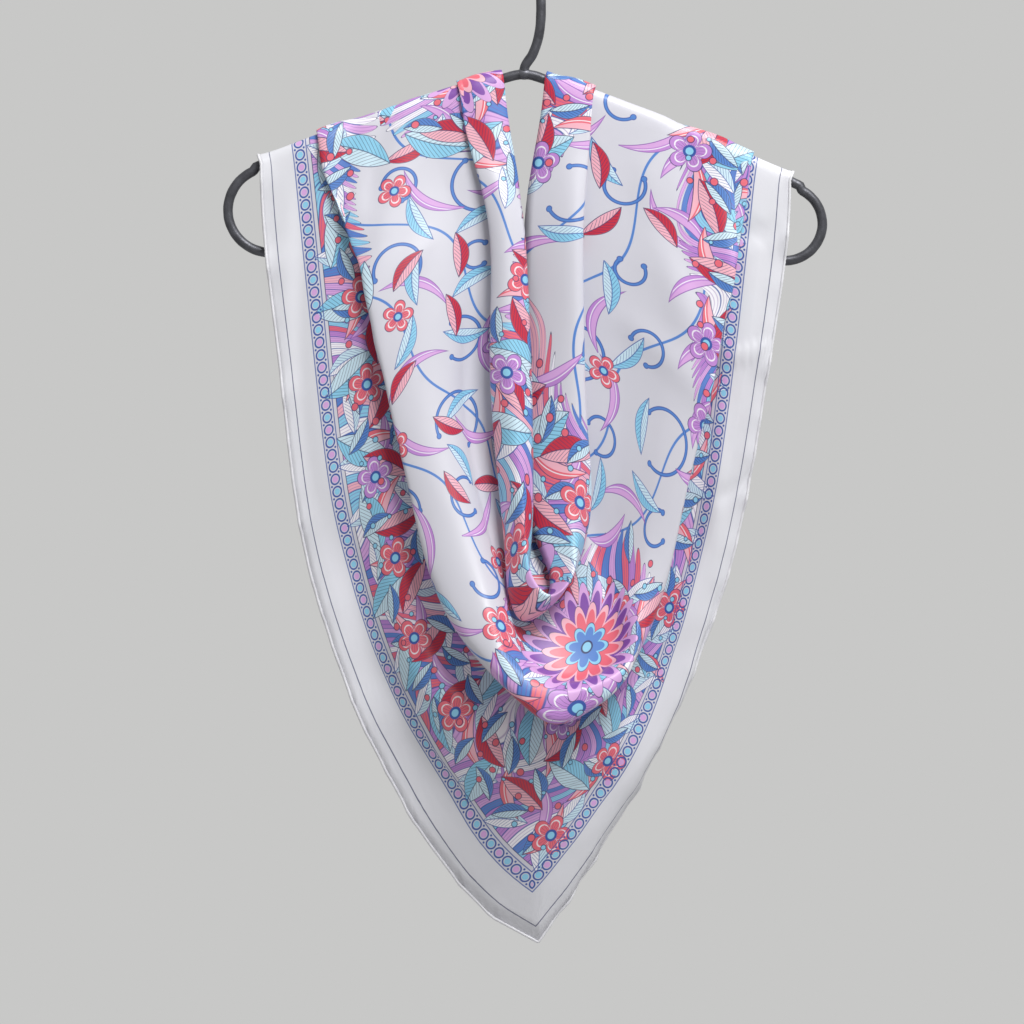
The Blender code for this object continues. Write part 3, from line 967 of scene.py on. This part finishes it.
# Five-petalled blossoms: their scattering and size; then how deep the petals part, and the rings they
# carry, as shares of the size.
Blossom = namedtuple("Blossom", "scatter size")
BAND_BLOSSOM = Blossom(Scatter(64.0, (0.15, 0.55), 0.2, 0.85, 9.0), 15.0)
FIELD_BLOSSOM = Blossom(Scatter(96.0, (0.6, 0.1), 0.4, 0.45, 10.0), 12.0)
PETALS = 5
PETAL_ROUND = 0.55
PETAL_NOTCH = 0.42
PETAL_BAND = 0.24
EYE = 0.3
PUPIL = 0.18
STAMENS = 25
STAMEN_REACH = 0.7
STAMEN_SPREAD = 1 / 3

# Round berries, and their smallest and largest radius.
BERRIES = Scatter(15.0, (0.5, 0.2), 0.3, 0.5, 11.0)
BERRY_R = (1.2, 2.6)

# Open rings with a bead on each end: the smallest radius, its spread, where a ring opens, line and bead.
RINGS = Scatter(60.0, (0.45, 0.3), 0.1, 0.9, 12.0)
RING_R = (10.0, 13.0)
RING_OPEN = 0.62
RING_LINE = 0.75
RING_BEAD = 1.7

# Long waving petals side by side, which fill the dense zones behind the leaves: width, waves, tones by
# chance, how far the tips run out, and the two lines along each.
PETAL_WIDTH = 6.2
PETAL_WAVES = ((19.0, 9.0), (31.0, 12.0))
PETAL_TONES = (
    (0.0, LILAC), (0.22, SKY), (0.38, ROSE), (0.46, MAUVE), (0.6, WHITE), (0.78, BLUE), (0.92, CORAL),
)
PETAL_TIP = 44.0
PETAL_LINE = 0.42
PETAL_VEIN = 2.0

# Thin waving stems across the open field: their spacing, half width, and waves as length and height.
STEM_SPACING = 62.0
STEM_LINE = 0.95
STEM_WAVES = ((23.0, 13.0), (41.0, 9.0))

# Zones on the flat square, in distances from its edge, its folded diagonal and its centre.
HALF_SIDE = 450.0
LINE_AT = 9.2
LINE_WIDTH = 0.35
STRIP = (28.5, 39.5)
STRIP_LINE = 0.4
BEAD_GAP = 9.0
BEAD_R = 3.5
BEAD_LINE = 0.6
BEAD_RIM = 1 / 3
SEED_R = 0.8
SEED_AT = 3.6
BAND = (43.0, 112.0)
BAND_WOBBLE = ((15.0, 19.0), 8.0)
GARLAND = 72.0
MEDALLION = 205.0
ROUND_R = 72.0
ROUNDS = ((-212.0, 262.0), (262.0, 212.0), (212.0, -262.0), (-262.0, -212.0))
FIELD_CLEAR = 10.0

# Rings of petals, from the middle out, each with two tones, its reach and its count: the great rosette at
# the centre, then the one in each small round. Then how much of a petal is body and heart, and the eye's
# size.
ROSETTE = ((ROSE, CORAL, 44.0, 8), (SKY, BLUE, 82.0, 16), (LILAC, VIOLET, 122.0, 22))
SMALL_ROSETTE = ((SKY, BLUE, 15.0, 8), (ROSE, CORAL, 29.0, 14), (LILAC, VIOLET, 44.0, 18))
ROSETTE_BODY = 0.62
ROSETTE_HEART = (0.5, 0.34)
ROSETTE_EYE = 0.2


def cells(x, y, scatter):
    """Cells over the cloth: the place in a cell, turned at random, the cell's centre, and two chances."""
    tree = x.tree
    gx = x / scatter.size + scatter.shift[0]
    gy = y / scatter.size + scatter.shift[1]
    column = calc("FLOOR", gx)
    row = calc("FLOOR", gy)
    one, two, three = chances(column, row, scatter.seed)
    centre_x = (column + 0.5 - scatter.shift[0] + (one - 0.5) * scatter.stray) * scatter.size
    centre_y = (row + 0.5 - scatter.shift[1] + (two - 0.5) * scatter.stray) * scatter.size
    from_x = x - centre_x
    from_y = y - centre_y
    angle = three * (2 * math.pi)
    cosine = calc("COSINE", angle)
    sine = calc("SINE", angle)
    return from_x * cosine + from_y * sine, from_y * cosine - from_x * sine, centre_x, centre_y, one, two


def chances(column, row, seed):
    """Three chance numbers of a cell."""
    tree = column.tree
    join = tree.nodes.new("ShaderNodeCombineXYZ")
    tree.links.new(column.socket, join.inputs[0])
    tree.links.new(row.socket, join.inputs[1])
    join.inputs[2].default_value = seed
    noise = tree.nodes.new("ShaderNodeTexWhiteNoise")
    tree.links.new(join.outputs[0], noise.inputs["Vector"])
    parts = tree.nodes.new("ShaderNodeSeparateColor")
    tree.links.new(noise.outputs["Color"], parts.inputs[0])
    return [Field(tree, output) for output in parts.outputs]


def edge_of(p, q):
    """Distance from the nearest edge of the square."""
    return HALF_SIDE - most(abs(p), abs(q))


def garland_zone(p, q):
    """Below zero in the garland along the folded diagonal, the great round and the four small ones."""
    rounds = [radius(p - at_p, q - at_q) - ROUND_R for at_p, at_q in ROUNDS]
    return least(abs(p + q) * math.sqrt(0.5) - GARLAND, radius(p, q) - MEDALLION, *rounds)


def dense_zone(p, q):
    """Below zero in the band along the edges, in the garland and in the rounds."""
    edge = edge_of(p, q)
    band = abs(edge - (BAND[0] + BAND[1]) / 2) - (BAND[1] - BAND[0]) / 2
    return least(band, most(garland_zone(p, q), BAND[0] - edge))


def open_zone(p, q):
    """Below zero outside the dense zones, and a little way off them."""
    return FIELD_CLEAR - dense_zone(p, q)


def field_zone(p, q):
    """Below zero in the open field within the band."""
    return most(open_zone(p, q), BAND[1] + FIELD_CLEAR - edge_of(p, q))


def chosen(scatter, zone, chance):
    """1 in the cells that hold a motif: those in the zone, and of these the scatter's share."""
    return inside(zone, CRISP) * calc("LESS_THAN", chance, scatter.share)


def outlined(under, body, line, fill, here):
    """A shape with an outline, where its distance field is below zero."""
    under = paint(under, line, inside(body - LEAF_LINE) * here)
    return paint(under, fill, inside(body) * here)


def leaf(under, p, q, kind, zone_of):
    """One scattering of leaves: two tones, an outline, a midrib, and veins or a pale streak."""
    x, y, cp, cq, _, two = cells(p, q, kind.scatter)
    along = x / (kind.length / 2)
    rib = y - x * x * kind.bend
    body = abs(rib) - (1.0 - along * along) * kind.half
    here = chosen(kind.scatter, zone_of(cp, cq), two)
    under = outlined(under, body, kind.line, kind.light, here)
    under = paint(under, kind.dark, inside(most(body, rib)) * here)
    if not kind.veins:
        streak = most(abs(rib + kind.half * BLADE_SHIFT) - BLADE_STREAK, body + LEAF_LINE)
        return paint(under, WHITE, inside(streak) * here * VEIN_STRENGTH)
    place = abs(calc("FRACT", (x + abs(rib) * VEIN_LEAN) / kind.veins) - 0.5) * kind.veins
    veins = most(place - VEIN_LINE, body + LEAF_LINE)
    lines = least(veins, most(abs(rib) - RIB_LINE, body))
    return paint(under, kind.line, inside(lines) * here * VEIN_STRENGTH)


def blossom(under, p, q, kind, zone_of):
    """One scattering of blossoms with an outline, a pale band on the petals, streaks and an eye."""
    x, y, cp, cq, one, two = cells(p, q, kind.scatter)
    size = kind.size
    away = radius(x, y)
    angle = calc("ARCTAN2", y, x)
    lobes = calc("POWER", abs(calc("COSINE", angle * (PETALS / 2))), PETAL_ROUND)
    body = away - (lobes * (1.0 - PETAL_NOTCH) + PETAL_NOTCH) * size
    here = chosen(kind.scatter, zone_of(cp, cq), two)
    tone = paint(CORAL, MAUVE, calc("GREATER_THAN", one, 0.5))
    under = outlined(under, body, NAVY, tone, here)
    under = paint(under, WHITE, inside(abs(body + size * PETAL_BAND) - LEAF_LINE) * here * VEIN_STRENGTH)
    streaks = abs(calc("SINE", angle * (STAMENS / 2))) * away * STAMEN_SPREAD - RIB_LINE
    under = paint(under, NAVY, inside(most(streaks, away - size * STAMEN_REACH)) * here * VEIN_STRENGTH)
    under = paint(under, DEEP_BLUE, inside(away - size * EYE) * here)
    return paint(under, SKY, inside(away - size * PUPIL) * here)


def berries(under, p, q):
    """Small round berries between the leaves."""
    x, y, cp, cq, one, two = cells(p, q, BERRIES)
    body = radius(x, y) - (one * (BERRY_R[1] - BERRY_R[0]) + BERRY_R[0])
    here = chosen(BERRIES, dense_zone(cp, cq), two)
    return outlined(under, body, NAVY, paint(SKY, CORAL, calc("GREATER_THAN", one, 0.5)), here)


def rings(under, p, q):
    """Open rings with a bead on each end, scattered over the field."""
    x, y, cp, cq, one, two = cells(p, q, RINGS)
    size = one * RING_R[1] + RING_R[0]
    stroke = most(abs(radius(x, y) - size) - RING_LINE, x - size * RING_OPEN)
    side = abs(y) - size * math.sqrt(1.0 - RING_OPEN ** 2)
    body = least(stroke, radius(x - size * RING_OPEN, side) - RING_BEAD)
    here = chosen(RINGS, field_zone(cp, cq), two)
    return outlined(under, body, DEEP_BLUE, BLUE, here)


def waving(place, other, waves):
    """A place pushed to and fro by sines of another one."""
    for length, height in waves:
        place = place + calc("SINE", other / length) * height
    return place


def stems(under, p, q):
    """Thin waving stems across the open field."""
    u = (p - q) * math.sqrt(0.5)
    v = (p + q) * math.sqrt(0.5)
    wave = waving(v, u, STEM_WAVES)
    line = abs(calc("FRACT", wave / STEM_SPACING) - 0.5) * STEM_SPACING - STEM_LINE
    return paint(under, BLUE, inside(most(line, BAND[0] - edge_of(p, q))))


def ramp(value, stops):
    """A colour in bands, each from its stop to the next."""
    node = value.tree.nodes.new("ShaderNodeValToRGB")
    node.color_ramp.interpolation = "CONSTANT"
    elements = node.color_ramp.elements
    while len(elements) < len(stops):
        elements.new(1.0)
    for element, (place, colour) in zip(elements, stops):
        element.position = place
        element.color = colour
    value.tree.links.new(value.socket, node.inputs[0])
    return Field(value.tree, node.outputs[0])


def petals(under, p, q):
    """Long waving petals side by side over the dense zones."""
    (across, along), height = BAND_WOBBLE
    wobble = calc("SINE", p / across) * calc("SINE", q / along) * height
    place = waving(p, q, PETAL_WAVES)
    place = waving(place, p + q, PETAL_WAVES) / PETAL_WIDTH
    step = calc("FLOOR", place)
    tone = chances(step, step, 0.0)[0]
    aside = abs(place - step - 0.5)
    edge = edge_of(p, q)
    covered = least(edge - BAND[1], garland_zone(p, q)) + wobble
    zone = most(covered + aside * aside * PETAL_TIP, BAND[0] - edge)
    under = paint(under, NAVY, inside(zone - LEAF_LINE))
    here = inside(zone)
    under = paint(under, ramp(tone, PETAL_TONES), here)
    near = (0.5 - aside) * PETAL_WIDTH
    under = paint(under, DEEP_BLUE, inside(near - PETAL_LINE) * here * VEIN_STRENGTH)
    return paint(under, VIOLET, inside(abs(near - PETAL_VEIN) - VEIN_LINE) * here / 2)


def rosette(under, p, q, circles):
    """Rings of petals round a centre."""
    away = radius(p, q)
    angle = calc("ARCTAN2", q, p)
    for light, dark, size, count in reversed(circles):
        lobes = abs(calc("SINE", angle * (count / 2)))
        body = away - size * ROSETTE_BODY - lobes * size * (1.0 - ROSETTE_BODY)
        heart = away - size * ROSETTE_HEART[0] - lobes * size * ROSETTE_HEART[1]
        under = paint(under, NAVY, inside(body - LEAF_LINE))
        under = paint(under, light, inside(body))
        under = paint(under, dark, inside(heart))
    eye = away - circles[0][2] * ROSETTE_EYE
    under = paint(under, NAVY, inside(eye - LEAF_LINE * 2))
    return paint(under, SKY, inside(eye))


def border(under, p, q):
    """The plain margin, its thin line, and the strip of beads between two lines."""
    edge = edge_of(p, q)
    run = least(abs(p), abs(q))
    under = paint(under, MARGIN, inside(edge - STRIP[0]))
    under = paint(under, NAVY, inside(abs(edge - LINE_AT) - LINE_WIDTH) * VEIN_STRENGTH)
    rails = least(abs(edge - STRIP[0]), abs(edge - STRIP[1])) - STRIP_LINE
    under = paint(under, DEEP_BLUE, inside(rails) * VEIN_STRENGTH)
    step = calc("FLOOR", run / BEAD_GAP)
    along = run - (step + 0.5) * BEAD_GAP
    middle = edge - (STRIP[0] + STRIP[1]) / 2
    bead = radius(along, middle) - BEAD_R
    strip = inside(abs(middle) - (STRIP[1] - STRIP[0]) / 2)
    under = paint(under, DEEP_BLUE, inside(abs(bead) - BEAD_LINE) * strip)
    odd = calc("GREATER_THAN", calc("FRACT", step / 2), 0.25)
    under = paint(under, paint(LILAC, SKY, odd), inside(bead + BEAD_R * BEAD_RIM) * strip)
    seeds = radius(abs(along) - BEAD_GAP / 2, abs(middle) - SEED_AT) - SEED_R
    return paint(under, DEEP_BLUE, inside(seeds) * strip)


def flat_place(tree):
    """The place on the flat square, in millimetres along its two sides."""
    layer = tree.nodes.new("ShaderNodeUVMap")
    layer.uv_map = "flat"
    parts = tree.nodes.new("ShaderNodeSeparateXYZ")
    tree.links.new(layer.outputs[0], parts.inputs[0])
    u = Field(tree, parts.outputs[0])
    v = Field(tree, parts.outputs[1])
    scale = math.sqrt(0.5) / MM
    return (u - v) * scale, (-u - v) * scale, layer.outputs[0]


def print_colour(p, q):
    """The whole print, from the ground up."""
    colour = stems(GROUND, p, q)
    colour = rings(colour, p, q)
    for kind in FIELD_LEAVES:
        colour = leaf(colour, p, q, kind, field_zone)
    colour = blossom(colour, p, q, FIELD_BLOSSOM, field_zone)
    colour = petals(colour, p, q)
    for kind in BAND_LEAVES:
        colour = leaf(colour, p, q, kind, dense_zone)
    colour = blossom(colour, p, q, BAND_BLOSSOM, dense_zone)
    colour = berries(colour, p, q)
    colour = rosette(colour, p, q, ROSETTE)
    for at_p, at_q in ROUNDS:
        colour = rosette(colour, p - at_p, q - at_q, SMALL_ROSETTE)
    return border(colour, p, q)


# ---- materials

# The levels of each shader that are the same all over.
SILK = {"Roughness": 0.34, "Specular IOR Level": 0.55, "Sheen Weight": 0.12, "Sheen Roughness": 0.35}
HEM_SILK = {"Roughness": 0.5}
IRON = {"Metallic": 0.55}
PALE_FLOOR = {"Base Color": srgb(196, 196, 196), "Roughness": 0.8}

# The two tones that the hem and the iron vary between, and the iron's spread and least of roughness.
# The hem's tones are painted shade in the hollows of its puckers and painted highlight on their crests.
HEM_PAINTED_SHADE_TONES = (srgb(206, 205, 210), srgb(232, 232, 236))
# The iron's tones are its mottled scale, and their light end on the raised parts is also painted highlight.
IRON_SCALE_AND_HIGHLIGHT_TONES = (srgb(38, 38, 42), srgb(112, 113, 120))
IRON_ROUGHNESS = (0.4, 0.26)

# Surface textures: the scale and detail of a noise, and the depth in millimetres and strength of a bump.
Texture = namedtuple("Texture", "scale detail depth strength")
RUMPLE = Texture(26.0, 3.0, 0.5, 0.6)
HEM_PUCKER = Texture(180.0, 2.0, 0.3, 0.5)
IRON_SCALE_AND_GLINT = Texture(120.0, 4.0, 0.5, 0.6)
IRON_PITS = Texture(900.0, 4.0, 0.15, 0.6)
TWILL_GAP = 0.5
TWILL = Texture(2 * math.pi / TWILL_GAP * math.sqrt(0.5), 0.0, 0.03, 0.5)


def new_material(name, levels):
    """A Principled material with the levels that are the same all over, its tree and its shader."""
    material = bpy.data.materials.new(name)
    material.use_nodes = True
    tree = material.node_tree
    shader = tree.nodes["Principled BSDF"]
    for socket, level in levels.items():
        shader.inputs[socket].default_value = level
    return material, tree, shader


def noise(tree, vector, texture):
    """A noise over a surface."""
    node = tree.nodes.new("ShaderNodeTexNoise")
    node.inputs["Scale"].default_value = texture.scale
    node.inputs["Detail"].default_value = texture.detail
    tree.links.new(vector, node.inputs["Vector"])
    return node.outputs[0]


def bump(tree, height, texture, under=None):
    """The normal of a surface with a height over it."""
    node = tree.nodes.new("ShaderNodeBump")
    node.inputs["Distance"].default_value = texture.depth * MM
    node.inputs["Strength"].default_value = texture.strength
    tree.links.new(height, node.inputs["Height"])
    if under:
        tree.links.new(under, node.inputs["Normal"])
    return node.outputs[0]


def silk_material():
    """Silk twill with the print, its fine diagonal wales and a soft rumple."""
    material, tree, shader = new_material("printed silk twill", SILK)
    p, q, uv = flat_place(tree)
    tree.links.new(print_colour(p, q).socket, shader.inputs["Base Color"])
    soft = bump(tree, noise(tree, uv, RUMPLE), RUMPLE)
    wales = calc("SINE", (p + q) * TWILL.scale)
    tree.links.new(bump(tree, wales.socket, TWILL, soft), shader.inputs["Normal"])
    return material


def hem_material():
    """White silk of the rolled hem, with painted shade and painted highlight from stitch to stitch: darker in
    the hollows of its puckers, lighter on their crests.
    """
    material, tree, shader = new_material("rolled silk hem", HEM_SILK)
    place = tree.nodes.new("ShaderNodeTexCoord")
    pucker = noise(tree, place.outputs["Object"], HEM_PUCKER)
    # Painted shade and highlight: the colour follows the pucker's height, darker in its hollows and lighter
    # on its crests.
    shade = paint(*HEM_PAINTED_SHADE_TONES, Field(tree, pucker))
    tree.links.new(shade.socket, shader.inputs["Base Color"])
    tree.links.new(bump(tree, pucker, HEM_PUCKER), shader.inputs["Normal"])
    return material


def iron_material():
    """Dark forged iron: mottled scale whose light patches, on the raised parts, are also painted highlight,
    faint pits, and a dull sheen.
    """
    material, tree, shader = new_material("forged iron", IRON)
    place = tree.nodes.new("ShaderNodeTexCoord")
    coarse = noise(tree, place.outputs["Object"], IRON_SCALE_AND_GLINT)
    fine = noise(tree, place.outputs["Object"], IRON_PITS)
    # Mottled scale and painted highlight: the colour follows the coarse bump, lighter where it is raised.
    shade = paint(*IRON_SCALE_AND_HIGHLIGHT_TONES, Field(tree, coarse))
    tree.links.new(shade.socket, shader.inputs["Base Color"])
    rough = calc("MULTIPLY_ADD", Field(tree, fine), *IRON_ROUGHNESS)
    tree.links.new(rough.socket, shader.inputs["Roughness"])
    soft = bump(tree, coarse, IRON_SCALE_AND_GLINT)
    tree.links.new(bump(tree, fine, IRON_PITS, soft), shader.inputs["Normal"])
    return material


# ---- stage

VIEW_CENTRE = (-3.6, -393.0)
CAMERA_FAR = 3.0
LENS = 148.0
SENSOR = 36.0
FLOOR_Z = -1.02
FLOOR_R = 1.5
FLOOR_SIDES = 96

# The surround's colour, how dim it is at its dimmest, its level midway, and how fast it brightens along
# X, Y and Z; then where the lamps aim, in metres, and each one's name, place, size and power.
SURROUND = srgb(200, 200, 199)
DIMMEST = 0.42
MIDWAY = 0.5
BRIGHT_WAY = (0.35, 0.75, 0.3)
LAMP_AIM = (0.0, 0.0, -0.36)
LAMPS = (
    ("key", (0.75, -1.25, 1.45), 1.0, 59.0),
    ("fill", (-1.7, -1.6, 0.1), 1.6, 3.0),
)


def camera():
    """A long lens, straight on."""
    data = bpy.data.cameras.new("camera")
    data.lens = LENS
    data.sensor_width = SENSOR
    eye = bpy.data.objects.new("camera", data)
    eye.location = (VIEW_CENTRE[0] * MM, -CAMERA_FAR, VIEW_CENTRE[1] * MM)
    eye.rotation_euler = (math.pi / 2, 0.0, 0.0)
    bpy.context.collection.objects.link(eye)
    bpy.context.scene.camera = eye


def softbox(name, place, size, power):
    """A square area light that faces the middle of the scarf."""
    data = bpy.data.lights.new(name, "AREA")
    data.size = size
    data.energy = power
    lamp = bpy.data.objects.new(name, data)
    lamp.location = place
    aim = Vector(LAMP_AIM) - Vector(place)
    lamp.rotation_euler = aim.to_track_quat("-Z", "Y").to_euler()
    bpy.context.collection.objects.link(lamp)


def floor():
    """A plain pale floor below the hanging scarf."""
    mesh = bpy.data.meshes.new("floor")
    build = bmesh.new()
    bmesh.ops.create_circle(build, cap_ends=True, segments=FLOOR_SIDES, radius=FLOOR_R)
    build.to_mesh(mesh)
    build.free()
    ground = make_piece("floor", mesh, new_material("pale floor", PALE_FLOOR)[0])
    ground.location = (0.0, 0.0, FLOOR_Z)


def studio():
    """Soft light: the key from the upper right, a weak fill, and a surround palest behind and above."""
    world = bpy.data.worlds.new("studio")
    bpy.context.scene.world = world
    world.use_nodes = True
    tree = world.node_tree
    background = tree.nodes["Background"]
    background.inputs["Color"].default_value = SURROUND
    place = tree.nodes.new("ShaderNodeTexCoord")
    parts = tree.nodes.new("ShaderNodeSeparateXYZ")
    tree.links.new(place.outputs["Generated"], parts.inputs[0])
    share = Field(tree, parts.outputs[0]) * BRIGHT_WAY[0]
    for output, weight in zip(parts.outputs[1:], BRIGHT_WAY[1:]):
        share = share + Field(tree, output) * weight
    strength = calc("ADD", share, MIDWAY, clamp=True) * (1.0 - DIMMEST) + DIMMEST
    tree.links.new(strength.socket, background.inputs["Strength"])
    for lamp in LAMPS:
        softbox(*lamp)
    bpy.context.scene.view_settings.view_transform = "Standard"


# ---- the whole


def main():
    """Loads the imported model, dresses it in cloth and iron, and sets the stage."""
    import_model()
    silk = silk_material()
    hem_silk = hem_material()
    iron = iron_material()

    front, front_hem = cloth("scarf_front", FRONT_FOLDS, "front", FRONT_CREASES, silk, hem_silk)
    back, back_hem = cloth("scarf_back", BACK_FOLDS, "back", BACK_CREASES, silk, hem_silk)
    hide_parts("drape_front", "tail_left_outer", "tail_right_outer")
    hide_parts("drape_back", "tail_left_inner", "tail_right_inner")
    hook = hammered("hanger_hook_wire", hook_route(), hook_radii(), iron)
    left = hammered("hanger_left_wire", frame_side(-1), [WIRE_R], iron)
    right = hammered("hanger_right_wire", frame_side(1), [WIRE_R], iron)
    bead = weld(iron)
    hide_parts("hanger_hook")
    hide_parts("hanger_arm_left", "hanger_loop_left", "hanger_bar")
    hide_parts("hanger_arm_right", "hanger_loop_right")
    for piece in (front, front_hem, back, back_hem):
        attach(piece, "root")
    for piece in (hook, left, right, bead):
        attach(piece, "root")

    camera()
    floor()
    studio()


main()
